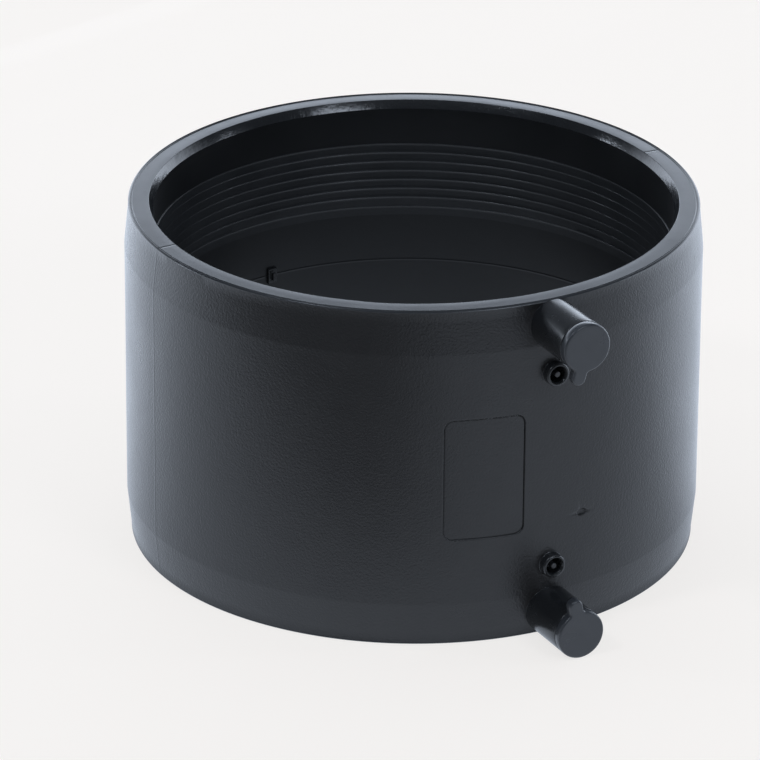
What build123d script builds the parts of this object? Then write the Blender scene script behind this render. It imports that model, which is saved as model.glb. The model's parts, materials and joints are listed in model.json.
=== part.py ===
from build123d import *
import os

# Electrofusion coupler for 200 mm polyethylene pipe, standing on its lower end face.
# The frame has +Z along the pipe axis, the two electrical terminals facing -Y, and its origin
# on the axis at the lower end face. Every length is in millimetres and every angle in degrees.

# Moulded body: wall and ends
pipe_diameter = 200.0
socket_clearance = 1.3        # radial, from the pipe to the smooth socket wall
body_length = 138.6
end_wall = 10.0               # wall at the end face, from the smooth socket wall out
band_length = 17.5            # tapered band at each end
band_rise = 1.7               # how much the radius grows along the band
rim_chamfer = 0.9             # outer corner of each end face
lead_in_depth = 3.3           # chamfer at the mouth, along the axis
lead_in_width = 1.9           # the same chamfer, across the axis

# Heating windings, one in each socket
wire_pitch = 3.9
wire_turns = 8
wire_lip = 0.7                # how far the folded lip over each turn stands into the socket
lip_step = 0.35               # length of the steep side of the lip
sleeve_wall = 2.1             # from the smooth socket wall out to the seat of the winding
mouth_land = 15.2             # smooth wall between the end face and the winding
end_land = 0.9                # smooth ends of the winding sleeve

# Pipe stops at the middle of the bore
stop_count = 4
stop_width = 4.0
stop_height = 6.0
stop_depth = 2.5
stop_chamfer = 0.8
stop_turn = 6.5               # turn of the first stop round the axis, from +X

# Terminals: shroud, pin and push-on cap
shroud_diameter = 19.4
shroud_inset = 0.1            # from the end face to the shroud's nearest edge
shroud_reach = 22.9           # from the end face's outer corner to the mouth of the shroud
shroud_bore = 13.0
shroud_floor = 2.8            # from the barrel out to the floor of the shroud
pin_diameter = 4.7
pin_recess = 4.0              # from the mouth of the shroud back to the tip of the pin
pin_root = 5.0                # length of the pin held in the wall
pin_chamfer = 0.6
cap_thickness = 3.6
cap_edge = 0.9                # chamfer round the outer face of the cap
plug_length = 5.0             # spigot of the cap inside the shroud
plug_wall = 1.3
plug_gap = 0.05               # radial running gap of the spigot
lug_width = 5.6               # pull lug, as deep as the cap
lug_length = 5.4              # beyond the edge of the cap
lug_root = 1.5                # rounding where the lug meets the cap
lug_turns = {"upper": 15.0, "lower": -11.0}   # turn of each lug away from the axis direction

# Fusion indicators
indicator_offset = 40.0       # from the middle of the coupler
boss_diameter = 9.6
boss_height = 3.4
well_diameter = 6.3
well_depth = 7.6
riser_diameter = 2.3
riser_gap = 0.05              # radial running gap of the indicator pin
riser_root = 3.6              # length of the pin below the floor of the well
riser_recess = 0.9            # from the mouth of the well back to the tip
riser_chamfer = 0.3

# Shallow recessed panel for markings, left bare
panel_width = 32.0
panel_height = 50.0
panel_corner = 4.0
panel_depth = 0.35
panel_turn = -14.0            # round the axis from the terminals, towards -X

root_overlap = 1.0            # how far a shape that stands on the wall runs into it

# Sizes that follow
middle = body_length / 2
socket_radius = pipe_diameter / 2 + socket_clearance
lip_radius = socket_radius - wire_lip
seat_radius = socket_radius + sleeve_wall
end_radius = socket_radius + end_wall
barrel_radius = end_radius + band_rise
shroud_radius = shroud_diameter / 2
terminal_offset = middle - shroud_inset - shroud_radius
mouth_radius = end_radius + shroud_reach
floor_radius = barrel_radius + shroud_floor
well_mouth = barrel_radius + boss_height
well_floor = well_mouth - well_depth
sleeve_length = (wire_turns + 1) * wire_pitch + 2 * end_land
sleeve_top = body_length - mouth_land
sleeve_blank = seat_radius - lip_radius + root_overlap   # ring that the lips are cut from
overrun = 5.0                 # how far a cutting shape runs past what it cuts
half_turn_angle = 180

across = Axis((0, 0, middle), (0, 1, 0))   # half a turn about this swaps the two sockets


def facing_terminals(distance, height):
    """A plane square to the terminals' direction, with its normal pointing outwards."""
    return Plane(origin=(0, -distance, height), x_dir=(1, 0, 0), z_dir=(0, -1, 0))


def save(part, name):
    part.label = name
    export_step(part, f"parts/{name}.step")


def save_pair(part, name):
    """One piece as it stands at the upper socket, and its twin half a turn away below."""
    save(part, f"{name}_upper")
    save(part.rotate(across, half_turn_angle), f"{name}_lower")


os.makedirs("parts", exist_ok=True)

# Winding: a sleeve of wire-carrying polyethylene with a folded lip over every turn.
# Half a turn of the empty space inside the lips cuts one side, and its twin the other.
first_step = sleeve_top - end_land - wire_pitch

with BuildPart() as half_turn:
    with BuildLine(mode=Mode.PRIVATE):
        lead = Helix(pitch=wire_pitch, height=wire_pitch / 2, radius=socket_radius)
    with BuildSketch(Plane.XZ):
        with BuildLine():
            inside = lip_radius - overrun
            profile = [(inside, sleeve_top + overrun), (socket_radius, sleeve_top + overrun)]
            for turn in range(wire_turns):
                step = first_step - turn * wire_pitch
                profile += [(socket_radius, step), (lip_radius, step - lip_step)]
            tail = first_step - wire_turns * wire_pitch
            profile += [(socket_radius, tail), (socket_radius, tail - overrun)]
            profile += [(inside, tail - overrun)]
            Polyline(*profile, close=True)
        make_face()
    sweep(path=lead, is_frenet=True)

with BuildPart() as winding:
    with BuildSketch(Plane.XZ):
        with Locations((seat_radius, sleeve_top)):
            Rectangle(sleeve_blank, sleeve_length, align=(Align.MAX, Align.MAX))
    revolve(axis=Axis.Z)
    for half in range(2):
        with Locations((0, 0, half * wire_pitch / 2)):
            add(half_turn.part, rotation=(0, 0, half_turn_angle * half - 90), mode=Mode.SUBTRACT)

save_pair(winding.part, "winding")

# Coupler body: the moulding, with shrouds, indicator bosses, pipe stops and panel
with BuildPart() as panel_cutter:
    with BuildSketch(Plane.XZ.offset(barrel_radius + overrun)):
        with Locations((0, middle)):
            RectangleRounded(panel_width, panel_height, panel_corner)
    extrude(amount=-2 * overrun)
    with Locations((0, 0, middle)):
        Cylinder(barrel_radius - panel_depth, panel_height + overrun, mode=Mode.SUBTRACT)

with BuildPart() as stop:
    with Locations((socket_radius - stop_depth, 0, middle)):
        Box(
            stop_depth + sleeve_wall,
            stop_width,
            stop_height,
            align=(Align.MIN, Align.CENTER, Align.CENTER),
        )
    inner_face = stop.faces().sort_by(Axis.X)[0]
    chamfer(inner_face.edges(), stop_chamfer)

with BuildPart() as coupler_body:
    with BuildSketch(Plane.XZ):
        with BuildLine():
            wall = Polyline(
                (socket_radius, middle),
                (socket_radius, sleeve_top - sleeve_length),
                (seat_radius, sleeve_top - sleeve_length),
                (seat_radius, sleeve_top),
                (socket_radius, sleeve_top),
                (socket_radius, body_length - lead_in_depth),
                (socket_radius + lead_in_width, body_length),
                (end_radius - rim_chamfer, body_length),
                (end_radius, body_length - rim_chamfer),
                (barrel_radius, body_length - band_length),
                (barrel_radius, middle),
            )
            mirror(wall, about=Plane((0, middle, 0), z_dir=(0, 1, 0)))
        make_face()
    revolve(axis=Axis.Z)
    add(panel_cutter.part, rotation=(0, 0, panel_turn), mode=Mode.SUBTRACT)
    for number in range(stop_count):
        add(stop.part, rotation=(0, 0, stop_turn + 360 / stop_count * number))

    for side in (1, -1):
        # Shroud round the terminal, rooted inside the wall
        shroud_centre = middle + side * terminal_offset
        with BuildSketch(facing_terminals(mouth_radius, shroud_centre)):
            Circle(shroud_radius)
        extrude(amount=seat_radius + root_overlap - mouth_radius)
        with BuildSketch(facing_terminals(mouth_radius, shroud_centre)):
            Circle(shroud_bore / 2)
        extrude(amount=floor_radius - mouth_radius, mode=Mode.SUBTRACT)
        with BuildSketch(facing_terminals(floor_radius, shroud_centre)):
            Circle(pin_diameter / 2)
        extrude(amount=-pin_root, mode=Mode.SUBTRACT)

        # Boss and well of the fusion indicator
        boss_centre = middle + side * indicator_offset
        with BuildSketch(facing_terminals(well_mouth, boss_centre)):
            Circle(boss_diameter / 2)
        extrude(amount=seat_radius + root_overlap - well_mouth)
        with BuildSketch(facing_terminals(well_mouth, boss_centre)):
            Circle(well_diameter / 2)
        extrude(amount=-well_depth, mode=Mode.SUBTRACT)
        with BuildSketch(facing_terminals(well_floor, boss_centre)):
            Circle(riser_diameter / 2 + riser_gap)
        extrude(amount=-riser_root, mode=Mode.SUBTRACT)
save(coupler_body.part, "coupler_body")

# Terminal pin, held by its root in the wall at the floor of the shroud
top_terminal = middle + terminal_offset
pin_tip = mouth_radius - pin_recess
with BuildPart() as terminal_pin:
    with BuildSketch(facing_terminals(floor_radius - pin_root, top_terminal)):
        Circle(pin_diameter / 2)
    extrude(amount=pin_tip - floor_radius + pin_root)
    tip_edge = terminal_pin.faces().sort_by(Axis.Y)[0].edges()
    chamfer(tip_edge, pin_chamfer)
save_pair(terminal_pin.part, "terminal_pin")

# Push-on caps, each with its pull lug towards the middle of the coupler
def make_cap(lug_turn):
    lug_middle = shroud_radius + lug_length - lug_width / 2
    with BuildPart() as cap:
        with BuildSketch(facing_terminals(mouth_radius, top_terminal)) as outline:
            Circle(shroud_radius)
            with Locations(Location((0, 0), -90 - lug_turn)):
                with Locations((lug_middle, 0)):
                    Circle(lug_width / 2)
                    Rectangle(lug_middle, lug_width, align=(Align.MAX, Align.CENTER))
            corners = outline.vertices().sort_by_distance((0, 0, 0))[:2]
            fillet(corners, lug_root)
        extrude(amount=cap_thickness)
        rim_edges = cap.faces().sort_by(Axis.Y)[0].edges()
        chamfer(rim_edges, cap_edge)
        with BuildSketch(facing_terminals(mouth_radius, top_terminal)):
            Circle(shroud_bore / 2 - plug_gap)
            Circle(shroud_bore / 2 - plug_gap - plug_wall, mode=Mode.SUBTRACT)
        extrude(amount=-plug_length)
    return cap.part


save(make_cap(lug_turns["upper"]), "terminal_cap_upper")
save(make_cap(lug_turns["lower"]).rotate(across, half_turn_angle), "terminal_cap_lower")

# Fusion indicator pin, seated on the floor of its guide hole
top_indicator = middle + indicator_offset
with BuildPart() as indicator_pin:
    with BuildSketch(facing_terminals(well_floor - riser_root, top_indicator)):
        Circle(riser_diameter / 2)
    extrude(amount=riser_root + well_depth - riser_recess)
    riser_tip = indicator_pin.faces().sort_by(Axis.Y)[0].edges()
    chamfer(riser_tip, riser_chamfer)
save_pair(indicator_pin.part, "indicator_pin")
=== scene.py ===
import json
import math
import bpy
import bmesh
from mathutils import Matrix, Quaternion, Vector, noise


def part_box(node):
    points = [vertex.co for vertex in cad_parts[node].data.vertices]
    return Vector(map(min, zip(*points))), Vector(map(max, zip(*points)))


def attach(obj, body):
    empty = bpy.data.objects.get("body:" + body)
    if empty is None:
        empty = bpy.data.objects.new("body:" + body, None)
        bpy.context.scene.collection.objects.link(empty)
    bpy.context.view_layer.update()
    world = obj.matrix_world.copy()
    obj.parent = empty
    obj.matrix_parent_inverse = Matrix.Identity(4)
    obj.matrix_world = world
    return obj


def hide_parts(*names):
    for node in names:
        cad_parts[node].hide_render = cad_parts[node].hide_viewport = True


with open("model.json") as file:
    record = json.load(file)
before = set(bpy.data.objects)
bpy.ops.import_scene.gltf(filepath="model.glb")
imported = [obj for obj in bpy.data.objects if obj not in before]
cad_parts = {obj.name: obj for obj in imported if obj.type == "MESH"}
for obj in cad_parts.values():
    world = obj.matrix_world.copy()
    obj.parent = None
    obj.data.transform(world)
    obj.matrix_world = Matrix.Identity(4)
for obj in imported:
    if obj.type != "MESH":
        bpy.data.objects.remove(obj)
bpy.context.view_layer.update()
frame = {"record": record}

mm = 0.001

# Sizes of the coupler, read from the frame. Heights count from its middle, in metres.
bodyLow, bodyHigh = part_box("coupler_body")
sleeveLow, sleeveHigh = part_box("winding_upper")
pinLow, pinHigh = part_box("terminal_pin_upper")
riserLow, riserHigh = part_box("indicator_pin_upper")
mounts = {mount["name"]: mount for mount in frame["record"]["mounts"]}

middle = bodyHigh.z / 2
halfLength = middle
barrelRadius = bodyHigh.y
boreRadius = mounts["socket_upper"]["dims"]["r_mm"] * mm
seatRadius = sleeveHigh.x
sleeveTop = sleeveHigh.z - middle
sleeveBottom = sleeveLow.z - middle
shroudMouth = -bodyLow.y
capFace = -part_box("terminal_cap_upper")[0].y
terminalHeight = (pinLow.z + pinHigh.z) / 2 - middle
pinRadius = (pinHigh.x - pinLow.x) / 2
indicatorHeight = (riserLow.z + riserHigh.z) / 2 - middle
riserRadius = (riserHigh.x - riserLow.x) / 2

# Every piece is drawn round the coupler's middle. The first move sets it at its height, and the
# second one turns it round to the lower end as well.
toUpper = Matrix.Translation((0, 0, middle))
toLower = toUpper @ Matrix.Rotation(math.pi, 4, "Y")
bothEnds = (("upper", toUpper), ("lower", toLower))
print("frame read")


def addObject(name, data):
    thing = bpy.data.objects.new(name, data)
    bpy.context.collection.objects.link(thing)
    return thing


def directionTo(azimuth, elevation):
    # azimuth 0 faces the terminals, and a quarter turn further is +X
    flat = math.cos(elevation)
    return Vector((math.sin(azimuth) * flat, -math.cos(azimuth) * flat, math.sin(elevation)))


# Camera first, so that the light can be set from where it looks
cameraLook = {
    "azimuth": -28.2,        # degrees round from facing the terminals
    "elevation": 24.27,
    "distance": 2.405,
    "aimHeight": 0.0605,
    "lens": 288.95,
    "aside": 0.305,          # degrees to the left, so the coupler stands right of centre
    "roll": 0.521,
}
turn = math.radians(cameraLook["azimuth"])
tilt = math.radians(cameraLook["elevation"])
towards = directionTo(turn, tilt)
cameraData = bpy.data.cameras.new("camera")
cameraData.lens = cameraLook["lens"]
cameraData.clip_end = 20
camera = addObject("camera", cameraData)
camera.location = Vector((0, 0, cameraLook["aimHeight"])) + towards * cameraLook["distance"]
camera.rotation_mode = "QUATERNION"
aside = Quaternion((0, 1, 0), math.radians(cameraLook["aside"]))
roll = Quaternion((0, 0, 1), math.radians(cameraLook["roll"]))
camera.rotation_quaternion = towards.to_track_quat("Z", "Y") @ aside @ roll
bpy.context.scene.camera = camera
bpy.context.scene.view_settings.view_transform = "Standard"
print("camera set")


# Helpers for shapes. Profiles are lists of points (radius, place along the axis).
sharpAngle = 35                   # degrees between two faces that keep a hard edge
mergeDistance = 0.002 * mm
quarterBends = [math.radians(15 * k) for k in range(7)]


def smoothStep(value, low, high):
    t = min(max((value - low) / (high - low), 0.0), 1.0)
    return t * t * (3 - 2 * t)


def steps(low, high, spacing):
    count = max(1, round(abs(high - low) / spacing))
    return [low + (high - low) * i / count for i in range(count + 1)]


def withFine(base, fine, gap):
    # the fine places, and those of the base that stand clear of them
    kept = sorted(fine)
    kept += [value for value in base if all(abs(value - other) > gap for other in fine)]
    return sorted(kept)


def roundedPath(corners, spacing, arcSteps=5):
    # corners are (radius, along, rounding); straight runs are divided by the spacing
    points = []
    for i, (x, y, rounding) in enumerate(corners):
        here = Vector((x, y))
        if rounding == 0 or i in (0, len(corners) - 1):
            arc = [here]
        else:
            back = (Vector(corners[i - 1][:2]) - here).normalized()
            ahead = (Vector(corners[i + 1][:2]) - here).normalized()
            half = back.angle(ahead) / 2
            reach = rounding / math.tan(half)
            centre = here + (back + ahead).normalized() * (rounding / math.sin(half))
            first = here + back * reach - centre
            final = here + ahead * reach - centre
            start = math.atan2(first.y, first.x)
            sweep = (math.atan2(final.y, final.x) - start + math.pi) % (2 * math.pi) - math.pi
            bends = [start + sweep * k / arcSteps for k in range(arcSteps + 1)]
            arc = [centre + rounding * Vector((math.cos(b), math.sin(b))) for b in bends]
        if points:
            last = points[-1]
            pieces = max(1, round((arc[0] - last).length / spacing))
            points += [last.lerp(arc[0], k / pieces) for k in range(1, pieces)]
        points += arc
    return points


def makePiece(name, rows, materials, zones=None, wrapRows=False, wrapColumns=True, skip=None,
              move=toUpper, body="body"):
    # rows is a list of rings of points; zones gives each band of faces its material
    mesh = bpy.data.meshes.new(name)
    columns = len(rows[0])
    vertices = [move @ Vector(point) for ring in rows for point in ring]
    faces = []
    faceZones = []
    for i in range(len(rows) if wrapRows else len(rows) - 1):
        for j in range(columns if wrapColumns else columns - 1):
            below = i * columns
            above = (i + 1) % len(rows) * columns
            ahead = (j + 1) % columns
            face = (below + j, below + ahead, above + ahead, above + j)
            if skip and skip((vertices[face[0]] + vertices[face[2]]) / 2):
                continue
            faces.append(face)
            faceZones.append(zones[i] if zones else 0)
    mesh.from_pydata(vertices, [], faces)
    mesh.polygons.foreach_set("material_index", faceZones)
    for material in materials:
        mesh.materials.append(material)
    tidyMesh(mesh)
    piece = addObject(name, mesh)
    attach(piece, body)
    return piece


def tidyMesh(mesh):
    work = bmesh.new()
    work.from_mesh(mesh)
    bmesh.ops.remove_doubles(work, verts=work.verts, dist=mergeDistance)
    bmesh.ops.recalc_face_normals(work, faces=work.faces)
    work.to_mesh(mesh)
    work.free()
    mesh.shade_smooth()
    mesh.set_sharp_from_angle(angle=math.radians(sharpAngle))


def turnedRings(profile, height, count):
    # rings round an axis that points at the terminals' side, at a height from the middle
    return [
        [
            (
                radius * math.cos(2 * math.pi * j / count),
                -out,
                height + radius * math.sin(2 * math.pi * j / count),
            )
            for j in range(count)
        ]
        for radius, out in profile
    ]


# Helpers for materials
noiseSpan = {"From Min": 0.3, "From Max": 0.7}        # most of a noise texture lies in here
crestSpan = {"From Min": 0.58, "From Max": 0.72}      # only its crests reach this high


def hexToLinear(code):
    channels = [int(code[i : i + 2], 16) / 255 for i in (1, 3, 5)]
    linear = [c / 12.92 if c <= 0.04045 else ((c + 0.055) / 1.055) ** 2.4 for c in channels]
    return (*linear, 1.0)


def addNode(tree, kind, settings=None, links=None):
    node = tree.nodes.new(kind)
    for name, value in (settings or {}).items():
        if isinstance(name, int) or name in node.inputs:
            node.inputs[name].default_value = value
        else:
            setattr(node, name, value)
    for name, source in (links or {}).items():
        tree.links.new(source, node.inputs[name])
    return node


def newMaterial(name):
    material = bpy.data.materials.new(name)
    material.use_nodes = True
    material.node_tree.nodes.clear()
    return material, material.node_tree


def addNoise(tree, place, size, detail, roughness=0.5, distortion=0.0):
    # size is that of its largest blotches, in millimetres
    settings = {
        "Scale": 1 / (size * mm), "Detail": detail, "Roughness": roughness, "Distortion": distortion,
    }
    return addNode(tree, "ShaderNodeTexNoise", settings, {"Vector": place}).outputs["Fac"]


def addBump(tree, height, depth, under=None, strength=1.0):
    # depth is in millimetres, and under is the bumpy surface that this one is laid over
    links = {"Height": height}
    if under is not None:
        links["Normal"] = under
    settings = {"Strength": strength, "Distance": depth * mm}
    return addNode(tree, "ShaderNodeBump", settings, links).outputs["Normal"]


def addBlend(tree, share, look):
    settings = {"data_type": "RGBA", 6: hexToLinear(look["dark"]), 7: hexToLinear(look["light"])}
    return addNode(tree, "ShaderNodeMix", settings, {0: share}).outputs[2]


def addGloss(tree, patches, look):
    settings = {
        **noiseSpan,
        "To Min": look["roughness"] - look["roughnessSpread"],
        "To Max": look["roughness"] + look["roughnessSpread"],
    }
    return addNode(tree, "ShaderNodeMapRange", settings, {"Value": patches}).outputs["Result"]


def polyethylene(name, look):
    # one recipe for every moulded surface: mottled colour, uneven gloss, grain and flow waves
    material, tree = newMaterial(name)
    place = addNode(tree, "ShaderNodeTexCoord").outputs["Object"]
    mottle = addNoise(tree, place, look["mottleSize"], 4.0, 0.6)
    patches = addNoise(tree, place, look["patchSize"], 3.0, 0.55)
    grain = addNoise(tree, place, look["grainSize"], 2.0, 0.6)
    # fine scuffs: thin lines that roughen the skin a little, and stand out of it a little
    stretched = addNode(
        tree, "ShaderNodeMapping", {"Scale": (1.0, 1.0, look["scuffStretch"])}, {"Vector": place}
    )
    scuffs = addNoise(tree, stretched.outputs["Vector"], look["scuffSize"], 6.0, 0.7, 0.6)
    scuffMask = addNode(
        tree, "ShaderNodeMapRange", {**crestSpan, "To Max": look["scuffs"]}, {"Value": scuffs}
    )
    roughness = addNode(
        tree, "ShaderNodeMath", {"operation": "ADD", "use_clamp": True},
        {0: addGloss(tree, patches, look), 1: scuffMask.outputs["Result"]},
    )
    waves = addBump(tree, patches, look["waveDepth"])
    lines = addBump(tree, scuffs, look["lineDepth"], waves)
    skin = addBump(tree, grain, look["grainDepth"], lines)
    shader = addNode(
        tree, "ShaderNodeBsdfPrincipled",
        {"IOR": 1.51, "Metallic": 0.0},
        {
            "Base Color": addBlend(tree, mottle, look),
            "Roughness": roughness.outputs["Value"],
            "Normal": skin,
        },
    )
    addNode(tree, "ShaderNodeOutputMaterial", None, {"Surface": shader.outputs["BSDF"]})
    return material


# Spark-eroded mould skin: an even grain that breaks the sheen into a soft satin
wallLook = {
    "dark": "#1a1a1b", "light": "#222223", "mottleSize": 9, "patchSize": 45, "grainSize": 0.9,
    "roughness": 0.30, "roughnessSpread": 0.03, "waveDepth": 0.25, "grainDepth": 0.16,
    "scuffSize": 6, "scuffStretch": 4.0, "scuffs": 0.05, "lineDepth": 0.03,
}
wallSkin = polyethylene("moulded_black_polyethylene_spark_eroded", wallLook)

# Faced end of the moulding: smoother, with faint tool lines, so it mirrors the bright backdrop
rimLook = {
    "dark": "#1a1c1f", "light": "#222529", "mottleSize": 5, "patchSize": 30, "grainSize": 0.5,
    "roughness": 0.30, "roughnessSpread": 0.03, "waveDepth": 0.12, "grainDepth": 0.012,
    "scuffSize": 3, "scuffStretch": 1.0, "scuffs": 0.08, "lineDepth": 0.02,
}
rimSkin = polyethylene("moulded_black_polyethylene_faced", rimLook)

# Trimmed mouth: the knife leaves small facets, dark from most sides with a few bright glints
trimLook = {
    "dark": "#1a1b1d", "light": "#232527", "mottleSize": 4, "patchSize": 11, "grainSize": 1.3,
    "roughness": 0.15, "roughnessSpread": 0.04, "waveDepth": 0.14, "grainDepth": 0.06,
    "scuffSize": 3, "scuffStretch": 1.0, "scuffs": 0.08, "lineDepth": 0.03,
}
trimSkin = polyethylene("trimmed_black_polyethylene", trimLook)

# Polished core side: satin with long soft reflections, and a base colour darker than the wall's as
# painted shade inside the bore
borePaintedShadeLook = {
    "dark": "#101112", "light": "#151618", "mottleSize": 12, "patchSize": 35, "grainSize": 0.8,
    "roughness": 0.36, "roughnessSpread": 0.04, "waveDepth": 0.10, "grainDepth": 0.008,
    "scuffSize": 5, "scuffStretch": 6.0, "scuffs": 0.08, "lineDepth": 0.02,
}
borePaintedShadeSkin = polyethylene("moulded_black_polyethylene_core_side_painted_shade", borePaintedShadeLook)

# Welded-in wire carrier: ploughed surface, slightly greyer than the bore, whose darker colour is
# painted shade
windingLook = {
    "dark": "#1c1d1f", "light": "#242628", "mottleSize": 4, "patchSize": 20, "grainSize": 0.6,
    "roughness": 0.36, "roughnessSpread": 0.05, "waveDepth": 0.05, "grainDepth": 0.012,
    "scuffSize": 2.5, "scuffStretch": 8.0, "scuffs": 0.10, "lineDepth": 0.03,
}
windingSkin = polyethylene("ploughed_black_polyethylene", windingLook)

# Polished tool steel behind the shrouds and bosses leaves them shiny with sharp highlights
shroudLook = {
    "dark": "#1b1c1e", "light": "#222426", "mottleSize": 6, "patchSize": 14, "grainSize": 0.5,
    "roughness": 0.24, "roughnessSpread": 0.04, "waveDepth": 0.08, "grainDepth": 0.006,
    "scuffSize": 3, "scuffStretch": 1.0, "scuffs": 0.08, "lineDepth": 0.02,
}
shroudSkin = polyethylene("moulded_black_polyethylene_polished", shroudLook)

# Softer low-density grade for the caps: a bluish grey cast and a waxy sheen
capLook = {
    "dark": "#303337", "light": "#383b40", "mottleSize": 5, "patchSize": 12, "grainSize": 0.5,
    "roughness": 0.30, "roughnessSpread": 0.04, "waveDepth": 0.06, "grainDepth": 0.008,
    "scuffSize": 2.5, "scuffStretch": 1.0, "scuffs": 0.08, "lineDepth": 0.02,
}
capSkin = polyethylene("low_density_polyethylene_moulded_cap", capLook)

# Grey pin in the indicator: a little paler, so its tip shows as a dot in the dark well
riserLook = {
    "dark": "#2a2b2e", "light": "#343538", "mottleSize": 1, "patchSize": 2, "grainSize": 0.3,
    "roughness": 0.38, "roughnessSpread": 0.03, "waveDepth": 0.02, "grainDepth": 0.008,
    "scuffSize": 1, "scuffStretch": 1.0, "scuffs": 0.05, "lineDepth": 0.01,
}
riserSkin = polyethylene("extruded_grey_polyethylene_pin", riserLook)
print("polyethylene finishes made")


# Turned brass: a warm metal, and rings from the lathe that band its highlights
brassLook = {
    "dark": "#b8954a", "light": "#d8bb6e", "tarnishSize": 1.5, "roughness": 0.30,
    "roughnessSpread": 0.08, "ringSpacing": 0.35, "ringWaver": 0.4, "ringDepth": 0.01,
    "ringStrength": 0.6,
    "wavePeriod": 0.314,          # of a wave texture at scale 1
}


def turnedBrass(look):
    material, tree = newMaterial("turned_brass")
    place = addNode(tree, "ShaderNodeTexCoord").outputs["Object"]
    rings = addNode(
        tree, "ShaderNodeTexWave",
        {
            "wave_type": "BANDS", "bands_direction": "Y", "Detail": 2.0,
            "Scale": look["wavePeriod"] / (look["ringSpacing"] * mm), "Distortion": look["ringWaver"],
        },
        {"Vector": place},
    )
    tarnish = addNoise(tree, place, look["tarnishSize"], 4.0)
    shader = addNode(
        tree, "ShaderNodeBsdfPrincipled", {"Metallic": 1.0},
        {
            "Base Color": addBlend(tree, tarnish, look),
            "Roughness": addGloss(tree, tarnish, look),
            "Normal": addBump(tree, rings.outputs["Fac"], look["ringDepth"],
                              strength=look["ringStrength"]),
        },
    )
    addNode(tree, "ShaderNodeOutputMaterial", None, {"Surface": shader.outputs["BSDF"]})
    return material


brass = turnedBrass(brassLook)
print("brass made")


# The moulding: wall, end faces and bore in one closed skin
wall = {
    "columns": 320,
    "rowSpacing": 4 * mm,
    "columnGap": 0.5 * mm,        # a coarse column or row this near a fine one is left out
    "rowGap": 0.4 * mm,
    "margin": 0.14 * mm,          # leaves room for seams inside the coupler's own size
    "endRadius": 111.3 * mm,
    "bandLength": 17.5 * mm,
    "cornerRound": 0.9 * mm,
    "faceLine": 0.12 * mm,        # depth of a faint line round the end face
    "faceLineInset": 1.5 * mm,    # from the outer corner in to that line
    "leadDepth": 3.3 * mm,
    "leadWidth": 1.9 * mm,
    "leadRound": 0.5 * mm,        # between the bore and the lead-in
    "faceRound": 0.3 * mm,        # between the lead-in and the end face
    "seamHeight": 0.06 * mm,      # parting line of the two mould halves
    "seamWidth": 0.30 * mm,
    "seamCut": 0.10 * mm,         # the same line where it crosses the end face
    "witness": 0.09 * mm,         # ridge where the two core halves meet in the bore
    "waviness": 0.05 * mm,
    "waves": 2.2,                 # the larger, the more waves there are round the wall
    "endWaviness": 0.04 * mm,
    "endWaves": (6, 200),         # round the end face and across it
    "mouthWaviness": 0.04 * mm,
    "mouthWaves": (3, 60),        # round the mouth and along it
    "endSlope": 0.32 * mm,        # the end face falls a little towards its outer edge
    "panelAngle": -104.0,
    "panelWidth": 32.0 * mm,
    "panelHeight": 50.0 * mm,
    "panelCorner": 4.0 * mm,
    "panelDepth": 0.35 * mm,
    "panelBrink": 0.10 * mm,      # its edge falls from here outside the outline ...
    "panelFoot": 0.25 * mm,       # ... to here inside it
    "panelGroove": 0.34 * mm,     # scored line at the foot of its edge, deepest on the right
    "grooveWidth": 0.20 * mm,
    "grooveLeft": 0.4,            # share of its depth on the left
    "gateAngle": -83.0,           # torn gate mark under the terminals
    "gateHeight": -21.7 * mm,
    "gateWidth": 5.4 * mm,
    "gateTall": 2.7 * mm,
    "gateDepth": 1.0 * mm,
    "gateEdge": (0.6, 1.1),       # its side rises between these shares of its outline
    "wellReach": 4.0 * mm,        # the wall is open this far round each indicator's axis
}

# Where rows and columns stand close together, in millimetres. At the panel they are counted
# inwards from its outline: first over its edge and groove, then over its rounded corners.
panelSteps = [-0.5, -0.15, 0.0, 0.12, 0.25, 0.38, 0.55] + [0.25 * k for k in range(3, 17)]
seamSteps = [-1.0, -0.5, -0.3, -0.15, 0, 0.15, 0.3, 0.5, 1.0]
bandSteps = [-0.5, -0.15, 0.15, 0.5]
bossSteps = [0.5 * k for k in range(-10, 11)]


def alongWall(angle, centre):
    # distance round the wall from an angle in degrees, shortest way
    return ((angle - math.radians(centre) + math.pi) % (2 * math.pi) - math.pi) * barrelRadius


def panelDistance(angle, z):
    # how far a place on the wall is outside the panel's rounded outline
    across = abs(alongWall(angle, wall["panelAngle"])) - wall["panelWidth"] / 2 + wall["panelCorner"]
    up = abs(z) - wall["panelHeight"] / 2 + wall["panelCorner"]
    outside = math.hypot(max(across, 0), max(up, 0))
    return outside + min(max(across, up), 0) - wall["panelCorner"]


def seamShare(angle):
    # 1 on the two parting lines, falling to 0 on both sides of them
    return sum(math.exp(-((alongWall(angle, seam) / wall["seamWidth"]) ** 2)) for seam in (0, 180))


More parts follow.
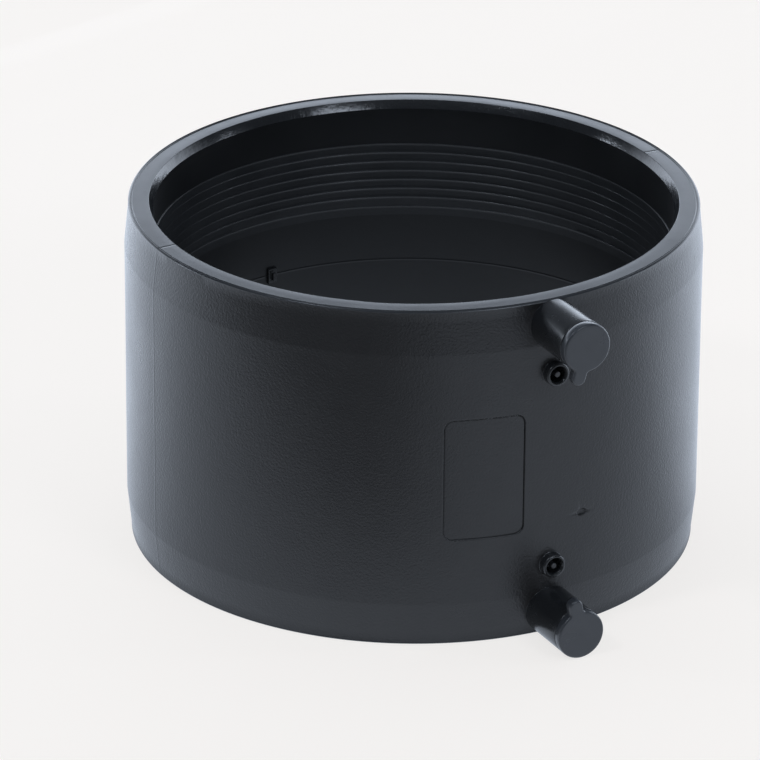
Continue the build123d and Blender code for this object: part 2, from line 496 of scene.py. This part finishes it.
def wallRadius(angle, z):
    band = halfLength - wall["bandLength"]
    radius = barrelRadius - wall["margin"]
    if abs(z) > band:
        fall = (abs(z) - band) / (wall["bandLength"] - wall["cornerRound"])
        radius -= (barrelRadius - wall["endRadius"]) * min(fall, 1)

    edge = panelDistance(angle, z)
    radius -= wall["panelDepth"] * (1 - smoothStep(edge, -wall["panelFoot"], wall["panelBrink"]))
    fromMiddle = alongWall(angle, wall["panelAngle"]) / wall["panelWidth"]
    right = smoothStep(fromMiddle, 0.3, 0.5)
    groove = wall["panelGroove"] * (wall["grooveLeft"] + (1 - wall["grooveLeft"]) * right)
    radius -= groove * math.exp(-(((edge + wall["panelFoot"]) / wall["grooveWidth"]) ** 2))

    radius += wall["seamHeight"] * seamShare(angle)
    place = Vector((math.cos(angle), math.sin(angle), z / barrelRadius))
    radius += wall["waviness"] * (noise.noise(place * wall["waves"]) - 0.5)
    gate = math.hypot(
        alongWall(angle, wall["gateAngle"]) / (wall["gateWidth"] / 2),
        (z - wall["gateHeight"]) / (wall["gateTall"] / 2),
    )
    radius -= wall["gateDepth"] * (1 - smoothStep(gate, *wall["gateEdge"]))
    return radius


def wallPoint(angle, z):
    radius = wallRadius(angle, z)
    return (radius * math.cos(angle), radius * math.sin(angle), z)


def mouldingAngles():
    fine = [(seam, d) for seam in (0, 180) for d in seamSteps]
    for side in (-1, 1):
        edge = side * wall["panelWidth"] / 2 / mm
        fine += [(wall["panelAngle"], edge - side * d) for d in panelSteps]
    fine += [(-90, d) for d in bossSteps]
    fine += [(wall["gateAngle"], 0.4 * k) for k in range(-6, 7)]
    fineAngles = [(math.radians(angle) + d * mm / barrelRadius) % (2 * math.pi) for angle, d in fine]
    base = [2 * math.pi * i / wall["columns"] for i in range(wall["columns"])]
    return withFine(base, fineAngles, wall["columnGap"] / barrelRadius)


def mouldingHeights(top):
    band = halfLength - wall["bandLength"]
    fine = [wall["gateHeight"] + 0.25 * k * mm for k in range(-4, 5)]
    for side in (-1, 1):
        fine += [side * (band + d * mm) for d in bandSteps]
        fine += [side * (wall["panelHeight"] / 2 - d * mm) for d in panelSteps]
        fine += [side * indicatorHeight + d * mm for d in bossSteps]
    heights = withFine(steps(-top, top, wall["rowSpacing"]), fine, wall["rowGap"])
    return [z for z in heights if abs(z) <= top]


def insideProfile(top):
    # from the outer corner of the lower end, up through the bore, to that of the upper end
    line = wall["endRadius"] - wall["faceLineInset"]
    leadStart = halfLength - wall["leadDepth"]
    inside = roundedPath(
        [
            (boreRadius, 0.9 * mm, 0),
            (boreRadius, sleeveBottom, 0),
            (seatRadius, sleeveBottom, 0),
            (seatRadius, sleeveTop, 0),
            (boreRadius, sleeveTop, 0),
            (boreRadius, leadStart, wall["leadRound"]),
            (boreRadius + wall["leadWidth"], halfLength, wall["faceRound"]),
            (line - 0.2 * mm, halfLength, 0),
        ],
        3 * mm,
    )
    outerCorner = roundedPath(
        [
            (line - 0.2 * mm, halfLength, 0),
            (line, halfLength - wall["faceLine"], 0),
            (line + 0.2 * mm, halfLength, 0),
            (wall["endRadius"], halfLength, wall["cornerRound"]),
            (wall["endRadius"], top, 0),
        ],
        1 * mm,
    )
    ridge = [
        Vector((boreRadius - wall["witness"] * (1 - share) ** 2, 0.6 * mm * share))
        for share in (0, 1 / 3, 2 / 3, 1)
    ]
    upper = ridge + inside + outerCorner[1:-2]
    lower = [Vector((r, -z)) for r, z in reversed(upper[1:])]
    return lower + upper


def insidePoint(r, z, angle):
    # the mouth wavers a little, and the end face is uneven, with the parting lines cut into it
    x = math.cos(angle)
    y = math.sin(angle)
    out = r
    drop = 0.0
    if abs(z) > sleeveTop + 0.1 * mm:
        around, along = wall["mouthWaves"]
        uneven = noise.noise(Vector((x * around, y * around, z * along)))
        out += wall["mouthWaviness"] * uneven
    if abs(z) > halfLength - 0.02 * mm:
        around, across = wall["endWaves"]
        uneven = noise.noise(Vector((x * around, y * around, r * across)))
        drop = wall["endWaviness"] * min(max(0.5 - uneven, 0), 1)
        drop += wall["seamCut"] * seamShare(angle)
        drop += wall["endSlope"] * (r - boreRadius) / (wall["endRadius"] - boreRadius)
    return (out * x, out * y, z - math.copysign(drop, z))


def insideZone(r, z):
    # places in the moulding's list of materials: 1 faced end, 2 bore, 3 trimmed mouth
    if r > boreRadius + wall["leadWidth"] + 1 * mm or abs(z) >= halfLength - 0.1 * mm:
        return 1
    return 2 if abs(z) < halfLength - wall["leadDepth"] - 0.3 * mm else 3


def overWell(point):
    # the wall is left open where a boss covers it, so that its well can go down through it
    if point.y > -barrelRadius * 0.9 or math.hypot(point.x, point.y) < barrelRadius - 3 * mm:
        return False
    return any(
        math.hypot(point.x, point.z - middle - side * indicatorHeight) < wall["wellReach"]
        for side in (-1, 1)
    )


def mouldingPiece():
    top = halfLength - wall["cornerRound"]
    angles = mouldingAngles()
    heights = mouldingHeights(top)
    profile = insideProfile(top)
    rings = [[insidePoint(r, z, angle) for angle in angles] for r, z in profile]
    rings += [[wallPoint(angle, z) for angle in angles] for z in reversed(heights)]
    zones = [insideZone(r, z) for r, z in profile] + [0] * (len(heights) - 1) + [1]
    piece = makePiece("coupler_moulding", rings, [wallSkin, rimSkin, borePaintedShadeSkin, trimSkin], zones,
                      wrapRows=True, skip=overWell)
    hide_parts("coupler_body")
    return piece


moulding = mouldingPiece()
print("moulding made:", len(moulding.data.polygons), "faces")


# Shrouds round the two terminals
shroud = {
    "radius": 9.7 * mm,
    "bore": 6.5 * mm,
    "floor": 115.8 * mm,
    "fillet": 0.06 * mm,
    "mouthRound": 0.5 * mm,
    "innerRound": 0.3 * mm,
    "floorRound": 0.4 * mm,
    "floorEdge": 0.9,             # the floor ends inside the pin, at this share of its radius
    "endMargin": 0.25 * mm,       # its foot stays this far from the end face
    "count": 96,
}
footSink = 0.03 * mm              # how far the foot of a shroud or boss sinks into the wall


def wallUnder(x, z):
    # how far out the wall lies under a point at x, z, towards the terminals
    radius = wallRadius(math.atan2(-barrelRadius, x), z)
    return math.sqrt(max(radius**2 - x**2, 0))


def skirtRings(look, height, limit):
    # a fillet that follows the wall round the foot of a shroud or a boss
    rings = []
    for bend in quarterBends:
        reach = look["radius"] + look["fillet"] * (1 - math.sin(bend))
        ring = []
        for j in range(look["count"]):
            around = 2 * math.pi * j / look["count"]
            x = reach * math.cos(around)
            z = min(max(height + reach * math.sin(around), -limit), limit)
            out = wallUnder(x, z) + look["fillet"] * (1 - math.cos(bend))
            ring.append((x, -(out if rings else out - footSink), z))
        rings.append(ring)
    return rings


shroudOutline = roundedPath(
    [
        (shroud["radius"], barrelRadius + 3 * mm, 0),
        (shroud["radius"], shroudMouth, shroud["mouthRound"]),
        (shroud["bore"], shroudMouth, shroud["innerRound"]),
        (shroud["bore"], shroud["floor"], shroud["floorRound"]),
        (pinRadius * shroud["floorEdge"], shroud["floor"], 0),
    ],
    3 * mm,
)
shroudRings = skirtRings(shroud, terminalHeight, halfLength - shroud["endMargin"])
shroudRings += turnedRings(shroudOutline, terminalHeight, shroud["count"])
for end, move in bothEnds:
    piece = makePiece("terminal_shroud_" + end, shroudRings, [shroudSkin], move=move)
    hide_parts("coupler_body")
print("shrouds made")


# Bosses of the fusion indicators, each with its well and guide hole
boss = {
    "radius": 4.8 * mm,
    "mouth": 116.4 * mm,
    "mouthDip": 0.1 * mm,         # the ring round the mouth falls a little inwards ...
    "bevelWidth": 0.6 * mm,       # ... to a bevel that leads into the well
    "bevelDepth": 1.1 * mm,
    "well": 3.15 * mm,
    "wellFloor": 108.8 * mm,
    "guideGap": 0.05 * mm,
    "guideDepth": 2 * mm,
    "fillet": 0.25 * mm,
    "round": 0.9 * mm,
    "count": 72,
}
guide = riserRadius + boss["guideGap"]
bossOutline = roundedPath(
    [
        (boss["radius"], barrelRadius + 1 * mm, 0),
        (boss["radius"], boss["mouth"], boss["round"]),
        (boss["well"] + boss["bevelWidth"], boss["mouth"] - boss["mouthDip"], 0.1 * mm),
        (boss["well"], boss["mouth"] - boss["bevelDepth"], 0.2 * mm),
        (boss["well"], boss["wellFloor"], 0.3 * mm),
        (guide, boss["wellFloor"], 0.1 * mm),
        (guide, boss["wellFloor"] - boss["guideDepth"], 0),
    ],
    1.5 * mm,
)
bossRings = skirtRings(boss, indicatorHeight, halfLength)
bossRings += turnedRings(bossOutline, indicatorHeight, boss["count"])
for end, move in bothEnds:
    piece = makePiece("indicator_boss_" + end, bossRings, [shroudSkin], move=move)
    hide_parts("coupler_body")
print("bosses made")


# Pipe stops in the middle of the bore
stop = {
    "width": 4.0 * mm,
    "height": 6.0 * mm,
    "depth": 2.5 * mm,
    "round": 1.4 * mm,
    "root": 1.2 * mm,             # how far it runs into the wall
    "spread": 0.12,               # share by which it widens where it leaves the wall
    "count": 4,
    "turn": 6.5,
}


def stopMesh(angle):
    work = bmesh.new()
    bmesh.ops.create_cube(work, size=1.0)
    size = (stop["depth"] + stop["root"], stop["width"], stop["height"])
    bmesh.ops.scale(work, vec=size, verts=work.verts)
    inner = [edge for edge in work.edges if all(vert.co.x < 0 for vert in edge.verts)]
    bmesh.ops.bevel(work, geom=inner, offset=stop["round"], segments=5, affect="EDGES")
    for vert in work.verts:
        spread = 1 + stop["spread"] * smoothStep(vert.co.x, 0, 1.9 * mm)
        vert.co.y *= spread
        vert.co.z *= spread
    out = boreRadius + (stop["root"] - stop["depth"]) / 2
    bmesh.ops.translate(work, vec=(out, 0, 0), verts=work.verts)
    bmesh.ops.rotate(work, matrix=Matrix.Rotation(angle, 3, "Z"), verts=work.verts)
    bmesh.ops.translate(work, vec=(0, 0, middle), verts=work.verts)
    mesh = bpy.data.meshes.new("pipe_stop")
    work.to_mesh(mesh)
    work.free()
    return mesh


for number in range(stop["count"]):
    mesh = stopMesh(math.radians(stop["turn"]) + 2 * math.pi * number / stop["count"])
    mesh.materials.append(shroudSkin)
    tidyMesh(mesh)
    piece = addObject("pipe_stop_" + str(number + 1), mesh)
    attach(piece, "body")
    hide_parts("coupler_body")
print("stops made")


# Heating windings: one folded lip for every turn of the buried wire
winding = {
    "turns": 8,
    "pitch": 3.9 * mm,
    "lip": 0.17 * mm,
    "start": -0.05 * mm,          # the steep side begins here, just above the step
    "rise": 0.17 * mm,            # and reaches the crest here
    "fold": 0.20 * mm,            # how quickly the lip falls away behind its crest
    "swell": 0.08,                # share of its height that falls away over the whole turn
    "endLips": 2.2,               # the first and the last lip stand in further
    "endLand": 0.9 * mm,
    "columns": 480,
    "startAngle": -90.0,
    "proudAngle": 62.0,           # the lips stand proud on this side and are pressed flatter elsewhere
    "proudSpread": 38.0,
    "pressed": 0.40,
    "uneven": 0.16,               # share by which its height comes and goes
    "ripples": (9, 5.7),          # round the sleeve and from lip to lip
    "sway": 0.09 * mm,            # how far a lip strays from its line
    "swayStretch": 0.6,
    "fade": 0.035,                # share of a turn over which a lip grows from nothing
    "settle": 0.2,                # share of a turn over which it starts to stray
}
# Rows over each lip, in millimetres below its step. The first stands above it, and the slack
# counts that one with its own lip.
lipSteps = [-0.05, 0.02, 0.07, 0.12, 0.17, 0.24, 0.32, 0.42, 0.6, 1.2, 2.4]
lipSlack = 0.06 * mm


def lipHeight(below):
    # how far the lip stands in at a distance below its step
    rise = smoothStep(below, winding["start"], winding["rise"])
    behind = max(below - winding["rise"], 0) / winding["fold"]
    fall = (1 - winding["swell"]) * math.exp(-(behind**2))
    fall += winding["swell"] * (1 - below / winding["pitch"])
    return winding["lip"] * rise * fall


def lipShare(progress, angle, near):
    # how proud the lips stand, at a number of turns from their lower end and an angle
    turns = winding["turns"]
    fade = smoothStep(progress, 0, winding["fade"]) * smoothStep(turns - progress, 0, winding["fade"])
    lastLip = smoothStep(progress, turns - 1.2, turns - 0.8)
    endLip = max(lastLip, 1 - smoothStep(progress, 0.8, 1.2))
    offside = (math.degrees(angle) - winding["proudAngle"] + 180) % 360 - 180
    proud = max(math.exp(-((offside / winding["proudSpread"]) ** 2)), lastLip)
    share = 1 + winding["uneven"] * noise.noise(near)
    share *= winding["pressed"] + (1 - winding["pressed"]) * proud
    share *= 1 + (winding["endLips"] - 1) * endLip
    return fade * share


def windingPoint(kind, value, t):
    # t counts one turn round the sleeve; value is a height on the outside, a distance along the
    # lips from the first step down, and a share of the way across the smooth ends
    pitch = winding["pitch"]
    turns = winding["turns"]
    angle = math.radians(winding["startAngle"]) + 2 * math.pi * t
    firstLine = sleeveTop - winding["endLand"] - pitch + pitch * t
    lastLine = firstLine - turns * pitch
    radius = seatRadius if kind == "outside" else boreRadius
    z = value
    if kind == "top":
        z = sleeveTop + (firstLine - winding["start"] - sleeveTop) * value
    elif kind == "bottom":
        z = lastLine + (sleeveBottom - lastLine) * value
    elif kind == "lip":
        turnNumber = min(int((value + lipSlack) / pitch), turns - 1)
        progress = turns - 1 - turnNumber + t
        around, along = winding["ripples"]
        near = Vector((math.cos(angle) * around, math.sin(angle) * around, progress * along))
        radius -= lipHeight(value - turnNumber * pitch) * lipShare(progress, angle, near)
        sway = winding["sway"] * noise.noise(near * winding["swayStretch"])
        sway *= smoothStep(progress, 0, winding["settle"])
        z = firstLine - value + sway * smoothStep(turns - progress, 0, winding["settle"])
    return (radius * math.cos(angle), radius * math.sin(angle), z)


def windingRings():
    rows = [("outside", sleeveTop)]
    rows += [("top", share) for share in (0.0, 0.35, 0.7, 0.95)]
    for number in range(winding["turns"]):
        rows += [("lip", number * winding["pitch"] + d * mm) for d in lipSteps]
    rows.append(("lip", winding["turns"] * winding["pitch"]))
    rows += [("bottom", share) for share in (0.1, 0.5, 1.0)]
    rows.append(("outside", sleeveBottom))
    kinds = [kind for kind, value in rows]
    zones = [0 if pair == ("lip", "lip") else 1 for pair in zip(kinds, kinds[1:] + kinds[:1])]
    count = winding["columns"]
    rings = [[windingPoint(kind, value, j / count) for j in range(count + 1)] for kind, value in rows]
    return rings, zones


lipRings, lipZones = windingRings()
for end, move in bothEnds:
    piece = makePiece("winding_" + end + "_lips", lipRings, [windingSkin, borePaintedShadeSkin], lipZones,
                      wrapRows=True, wrapColumns=False, move=move)
    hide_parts("winding_" + end)
print("windings made:", len(piece.data.polygons), "faces each")


# Push-on caps, each with its pull lug
cap = {
    "radius": 9.7 * mm,
    "edgeRound": 0.9 * mm,
    "gap": 0.16 * mm,            # dark line between the cap and the mouth of the shroud
    "plugLength": 5.0 * mm,
    "plugRadius": 6.45 * mm,
    "plugWall": 1.3 * mm,
    "plugRound": 0.35 * mm,
    "lugWidth": 5.6 * mm,
    "lugLength": 5.4 * mm,
    "lugRoot": 1.5 * mm,
    "lugTurns": {"upper": 15.0, "lower": -11.0},
    "sag": 0.02 * mm,            # its face is a little hollow
    "tipSteps": 24,
    "rootSteps": 6,
    "rimSteps": 110,
    "rootGap": 0.04,             # angle between a root's rounding and the first step of the rim
}


def capOutline():
    # points and outward directions round the cap, with the lug along the first axis
    half = cap["lugWidth"] / 2
    root = cap["lugRoot"]
    rootSteps = cap["rootSteps"]
    tip = cap["radius"] + cap["lugLength"] - half
    rootAcross = half + root
    rootAlong = math.sqrt((cap["radius"] + root) ** 2 - rootAcross**2)
    rootAngle = math.atan2(rootAcross, rootAlong)
    rimStart = rootAngle + cap["rootGap"]
    outline = []

    def arc(centre, radius, start, end, count, inward=1):
        for k in range(count + 1):
            bend = start + (end - start) * k / count
            direction = Vector((math.cos(bend), math.sin(bend)))
            outline.append((Vector(centre) + direction * radius, direction * inward))

    arc((tip, 0), half, -math.pi / 2, math.pi / 2, cap["tipSteps"])
    arc((rootAlong, rootAcross), root, -math.pi / 2, rootAngle - math.pi, rootSteps, -1)
    arc((0, 0), cap["radius"], rimStart, 2 * math.pi - rimStart, cap["rimSteps"])
    arc((rootAlong, -rootAcross), root, math.pi - rootAngle, math.pi / 2, rootSteps, -1)
    return outline


def capRings(end):
    outline = capOutline()
    turned = Matrix.Rotation(math.radians(-90 - cap["lugTurns"][end]), 2)
    rounding = cap["edgeRound"]

    def ring(inset, out, limit=None, scale=1.0):
        points = []
        for point, outward in outline:
            place = (point - outward * inset) * scale
            if limit and place.length > limit:
                place *= limit / place.length
            place = turned @ place
            points.append((place.x, -out, terminalHeight + place.y))
        return points

    rings = [ring(rounding, capFace - cap["sag"], scale=share) for share in (0.02, 0.3, 0.6, 0.85)]
    for bend in quarterBends:
        rings.append(ring(rounding * (1 - math.sin(bend)), capFace - rounding * (1 - math.cos(bend))))
    gap = cap["gap"]
    rings.append(ring(0, (capFace + shroudMouth) / 2))
    rings.append(ring(0, shroudMouth + 2 * gap))
    rings.append(ring(gap / 2, shroudMouth + gap))
    rings.append(ring(gap * 2, shroudMouth + gap))
    rings.append(ring(gap * 2, shroudMouth + gap, limit=cap["radius"] * 0.95))
    plugInside = cap["plugRadius"] - cap["plugWall"]
    plugEnd = shroudMouth - cap["plugLength"]
    plug = roundedPath(
        [
            (cap["plugRadius"], shroudMouth + gap, 0),
            (cap["plugRadius"], plugEnd, cap["plugRound"]),
            (plugInside, plugEnd, cap["plugRound"]),
            (plugInside, shroudMouth, 0.5 * mm),
            (0.1 * mm, shroudMouth, 0),
        ],
        1.5 * mm,
    )
    return rings + [ring(0, out, limit=radius) for radius, out in plug]


for end, move in bothEnds:
    piece = makePiece("terminal_cap_" + end + "_moulded", capRings(end), [capSkin], move=move,
                      body="cap_" + end)
    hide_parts("terminal_cap_" + end)
print("caps made")


# Terminal pins inside the shrouds, and the rising pins of the indicators
pins = {
    "count": 48,
    "centre": 0.02 * mm,          # radius of the ring that closes each end
    "taper": 0.1 * mm,            # the terminal pin narrows by this much ...
    "taperLength": 1.6 * mm,      # ... over this length of its tip
    "taperRound": 0.3 * mm,
    "tipRound": 0.6 * mm,
    "riserTip": 0.3 * mm,
    "riserRoot": 0.1 * mm,
}


def turnedPiece(name, corners, height, move, material, node, body):
    rings = turnedRings(roundedPath(corners, 1 * mm), height, pins["count"])
    piece = makePiece(name, rings, [material], move=move, body=body)
    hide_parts(node)


for end, move in bothEnds:
    turnedPiece(
        "terminal_pin_" + end + "_turned",
        [
            (pins["centre"], -pinLow.y, 0),
            (pinRadius - pins["taper"], -pinLow.y, pins["tipRound"]),
            (pinRadius, -pinLow.y - pins["taperLength"], pins["taperRound"]),
            (pinRadius, -pinHigh.y, 0),
            (pins["centre"], -pinHigh.y, 0),
        ],
        terminalHeight, move, brass, "terminal_pin_" + end, "body",
    )
    turnedPiece(
        "indicator_pin_" + end + "_moulded",
        [
            (pins["centre"], -riserLow.y, 0),
            (riserRadius, -riserLow.y, pins["riserTip"]),
            (riserRadius, -riserHigh.y, pins["riserRoot"]),
            (pins["centre"], -riserHigh.y, 0),
        ],
        indicatorHeight, move, riserSkin, "indicator_pin_" + end, "riser_" + end,
    )
print("pins made")


# Floor: back-lit opal acrylic, as on a product table, so the shadow stays soft and pale
floor = {
    "front": 1.2, "side": 2.2, "back": 3.0, "height": -0.01 * mm,
    "albedo": "#92887e",          # a little warm against the cool light
    "glow": "#f4f3f2", "glowStrength": 0.81,
    # painted shade: the floor's glow is dimmed under the coupler by this share
    "paintedShadeShare": 0.50,              # share of its glow that is left under the coupler
    "blastSize": 0.8, "blastDepth": 0.02, "blastStrength": 0.3, "roughness": 0.9,
}

# Painted reflection: a glowing sheet on the table that only the gloss sees, so the dark wall mirrors a
# sheen that runs from dark in front to bright behind. Tones are (distance away from the camera,
# brightness).
paintedReflectionSheet = {
    "front": 1.2, "side": 2.0, "back": 2.6, "height": -0.005 * mm,
    # painted shade: the painted reflection is dimmed under the coupler by this share
    "tint": "#e4efff", "paintedShadeShare": 0.45,
    "leftTones": [
        (-0.32, 0.22), (-0.237, 0.26), (-0.207, 0.66), (-0.158, 0.86), (-0.095, 1.08), (-0.057, 1.18),
        (-0.014, 1.37), (0.063, 1.72), (0.115, 1.92), (0.4, 2.1),
    ],
    "rightTones": [
        (-0.32, 0.80), (-0.237, 0.95), (-0.163, 0.92), (-0.116, 0.84), (-0.063, 0.95), (-0.027, 1.0),
        (0.003, 1.23), (0.04, 1.6), (0.10, 1.9), (0.4, 2.1),
    ],
    "blend": (-0.06, 0.12),       # where the left half runs into the right half
}
# width over which the painted shade under the coupler fades out
paintedShadeEdge = 8 * mm                # the cover ends softly over this width of the wall


def flatPiece(name, look, material):
    # a level sheet, square to the camera's own direction
    corners = [
        (-look["side"], -look["front"]), (look["side"], -look["front"]),
        (look["side"], look["back"]), (-look["side"], look["back"]),
    ]
    mesh = bpy.data.meshes.new(name)
    facing = Matrix.Rotation(turn, 4, "Z")
    points = [facing @ Vector((x, y, look["height"])) for x, y in corners]
    mesh.from_pydata(points, [], [(0, 1, 2, 3)])
    mesh.materials.append(material)
    piece = addObject(name, mesh)
    return piece


def paintedShadeMask(tree, place, paintedShadeShare):
    # painted shade mask: 1 on the open table, falling to the painted shade share under the coupler
    reach = addNode(tree, "ShaderNodeVectorMath", {"operation": "LENGTH"}, {0: place})
    share = addNode(
        tree, "ShaderNodeMapRange",
        {"From Min": boreRadius, "From Max": boreRadius + paintedShadeEdge, "To Min": paintedShadeShare},
        {"Value": reach.outputs["Value"]},
    )
    return share.outputs["Result"]


def opalAcrylic():
    # opal acrylic, sand-blasted: an even pale surface that glows a little from below, with its glow
    # dimmed under the coupler as painted shade
    material, tree = newMaterial("opal_acrylic_blasted")
    place = addNode(tree, "ShaderNodeTexCoord").outputs["Object"]
    blast = addNoise(tree, place, floor["blastSize"], 3.0)
    glow = addNode(
        tree, "ShaderNodeMath", {"operation": "MULTIPLY", 1: floor["glowStrength"]},
        {0: paintedShadeMask(tree, place, floor["paintedShadeShare"])},
    )
    shader = addNode(
        tree, "ShaderNodeBsdfPrincipled",
        {
            "Base Color": hexToLinear(floor["albedo"]), "Roughness": floor["roughness"], "IOR": 1.3,
            "Emission Color": hexToLinear(floor["glow"]),
        },
        {
            "Normal": addBump(tree, blast, floor["blastDepth"], strength=floor["blastStrength"]),
            "Emission Strength": glow.outputs["Value"],
        },
    )
    addNode(tree, "ShaderNodeOutputMaterial", None, {"Surface": shader.outputs["BSDF"]})
    return material


def asCameraSees(tree, direction):
    # the same direction with +X to the camera's right and +Y away from it
    settings = {"rotation_type": "Z_AXIS", "Angle": -turn}
    turned = addNode(tree, "ShaderNodeVectorRotate", settings, {"Vector": direction})
    return addNode(tree, "ShaderNodeSeparateXYZ", None, {"Vector": turned.outputs["Vector"]}).outputs


def toneRamp(tree, along, tones):
    # brightness that runs straight from each (place, tone) to the next
    total = None
    for (near, nearTone), (far, farTone) in zip(tones, tones[1:]):
        step = addNode(
            tree, "ShaderNodeMapRange",
            {"From Min": near, "From Max": far, "To Max": farTone - nearTone}, {"Value": along},
        )
        settings = {"operation": "ADD"}
        links = {1: step.outputs["Result"]}
        if total is None:
            settings[0] = nearTone
        else:
            links[0] = total
        total = addNode(tree, "ShaderNodeMath", settings, links).outputs["Value"]
    return total


def smoothRange(tree, value, span, low=0.0, high=1.0):
    settings = {
        "interpolation_type": "SMOOTHSTEP", "From Min": span[0], "From Max": span[1],
        "To Min": low, "To Max": high,
    }
    return addNode(tree, "ShaderNodeMapRange", settings, {"Value": value}).outputs["Result"]


def paintedReflectionMaterial():
    # painted reflection: a glowing sheet in two halves that puts the long soft sheen on the dark wall,
    # dimmed under the coupler as painted shade
    material, tree = newMaterial("painted_reflection_glow")
    place = addNode(tree, "ShaderNodeTexCoord").outputs["Object"]
    parts = asCameraSees(tree, place)
    glow = addNode(
        tree, "ShaderNodeMix", {"data_type": "FLOAT"},
        {
            0: smoothRange(tree, parts["X"], paintedReflectionSheet["blend"]),
            2: toneRamp(tree, parts["Y"], paintedReflectionSheet["leftTones"]),
            3: toneRamp(tree, parts["Y"], paintedReflectionSheet["rightTones"]),
        },
    )
    shown = addNode(
        tree, "ShaderNodeMath", {"operation": "MULTIPLY"},
        {0: glow.outputs[0], 1: paintedShadeMask(tree, place, paintedReflectionSheet["paintedShadeShare"])},
    )
    shader = addNode(
        tree, "ShaderNodeEmission", {"Color": hexToLinear(paintedReflectionSheet["tint"])},
        {"Strength": shown.outputs["Value"]},
    )
    addNode(tree, "ShaderNodeOutputMaterial", None, {"Surface": shader.outputs["Emission"]})
    return material


flatPiece("floor", floor, opalAcrylic())
paintedReflectionPiece = flatPiece("painted_reflection_sheet", paintedReflectionSheet, paintedReflectionMaterial())
# only glossy rays see this sheet, so all it makes is painted reflection
for ray in ("camera", "diffuse", "shadow", "transmission", "volume_scatter"):
    setattr(paintedReflectionPiece, "visible_" + ray, False)
print("floor and reflector card laid")


# Light: a bright backdrop with a soft upper edge, a dim ceiling and small windows.
# Directions are as the camera sees them.
room = {
    "tint": "#e4efff", "seen": "#f4f4f4",
    "dim": 0.12, "top": 0.55,     # brightness all round, and straight overhead
    "ceiling": (0.5, 0.95),       # how steep a look has to be for it to grow from one to the other
    "back": 3.2,
    "sides": (-0.05, 0.20),       # where the backdrop ends at its sides
    "lean": 0.35,                 # it stands lower at the sides than in the middle
    "edge": (0.27, -0.10),        # its soft upper edge
}

# Azimuth counts from the camera to the right, and radiance is how bright a light's face looks
softBoxes = {
    "key_right_front": {
        "azimuth": 37, "elevation": 33, "width": 0.60, "height": 0.44, "radiance": 7.6,
    },
    "side_left": {"azimuth": -98, "elevation": 18, "width": 0.14, "height": 0.14, "radiance": 42.0},
    "side_right": {"azimuth": 93, "elevation": 18, "width": 0.14, "height": 0.14, "radiance": 36.0},
    "window_left_high": {
        "azimuth": -52, "elevation": 52, "width": 0.20, "height": 0.20, "radiance": 40.0,
    },
}
softBoxDistance = 1.8


def buildRoom():
    world = bpy.data.worlds.new("studio")
    bpy.context.scene.world = world
    world.use_nodes = True
    tree = world.node_tree
    tree.nodes.clear()
    parts = asCameraSees(tree, addNode(tree, "ShaderNodeTexCoord").outputs["Generated"])
    height = addNode(
        tree, "ShaderNodeMath", {"operation": "MULTIPLY_ADD", 1: -room["lean"]},
        {0: parts["Y"], 2: parts["Z"]},
    )
    backdrop = addNode(
        tree, "ShaderNodeMath", {"operation": "MULTIPLY"},
        {
            0: smoothRange(tree, parts["Y"], room["sides"], high=room["back"]),
            1: smoothRange(tree, height.outputs["Value"], room["edge"]),
        },
    )
    strength = addNode(
        tree, "ShaderNodeMath", {"operation": "ADD"},
        {
            0: backdrop.outputs["Value"],
            1: smoothRange(tree, parts["Z"], room["ceiling"], room["dim"], room["top"]),
        },
    )
    lit = addNode(
        tree, "ShaderNodeBackground", {"Color": hexToLinear(room["tint"])},
        {"Strength": strength.outputs["Value"]},
    )
    seen = addNode(tree, "ShaderNodeBackground", {"Color": hexToLinear(room["seen"]), "Strength": 1.0})
    path = addNode(tree, "ShaderNodeLightPath")
    mixed = addNode(
        tree, "ShaderNodeMixShader", None,
        {0: path.outputs["Is Camera Ray"], 1: lit.outputs["Background"], 2: seen.outputs["Background"]},
    )
    addNode(tree, "ShaderNodeOutputWorld", None, {"Surface": mixed.outputs["Shader"]})


def addSoftBox(name, look):
    data = bpy.data.lights.new(name, "AREA")
    data.shape = "RECTANGLE"
    data.size = look["width"]
    data.size_y = look["height"]
    data.energy = look["radiance"] * math.pi * look["width"] * look["height"]
    data.color = hexToLinear(room["tint"])[:3]
    away = directionTo(turn + math.radians(look["azimuth"]), math.radians(look["elevation"]))
    light = addObject(name, data)
    light.location = Vector((0, 0, middle)) + away * softBoxDistance
    light.rotation_mode = "QUATERNION"
    light.rotation_quaternion = away.to_track_quat("Z", "Y")
    light.visible_camera = False


buildRoom()
for name, look in softBoxes.items():
    addSoftBox(name, look)
print("light set")
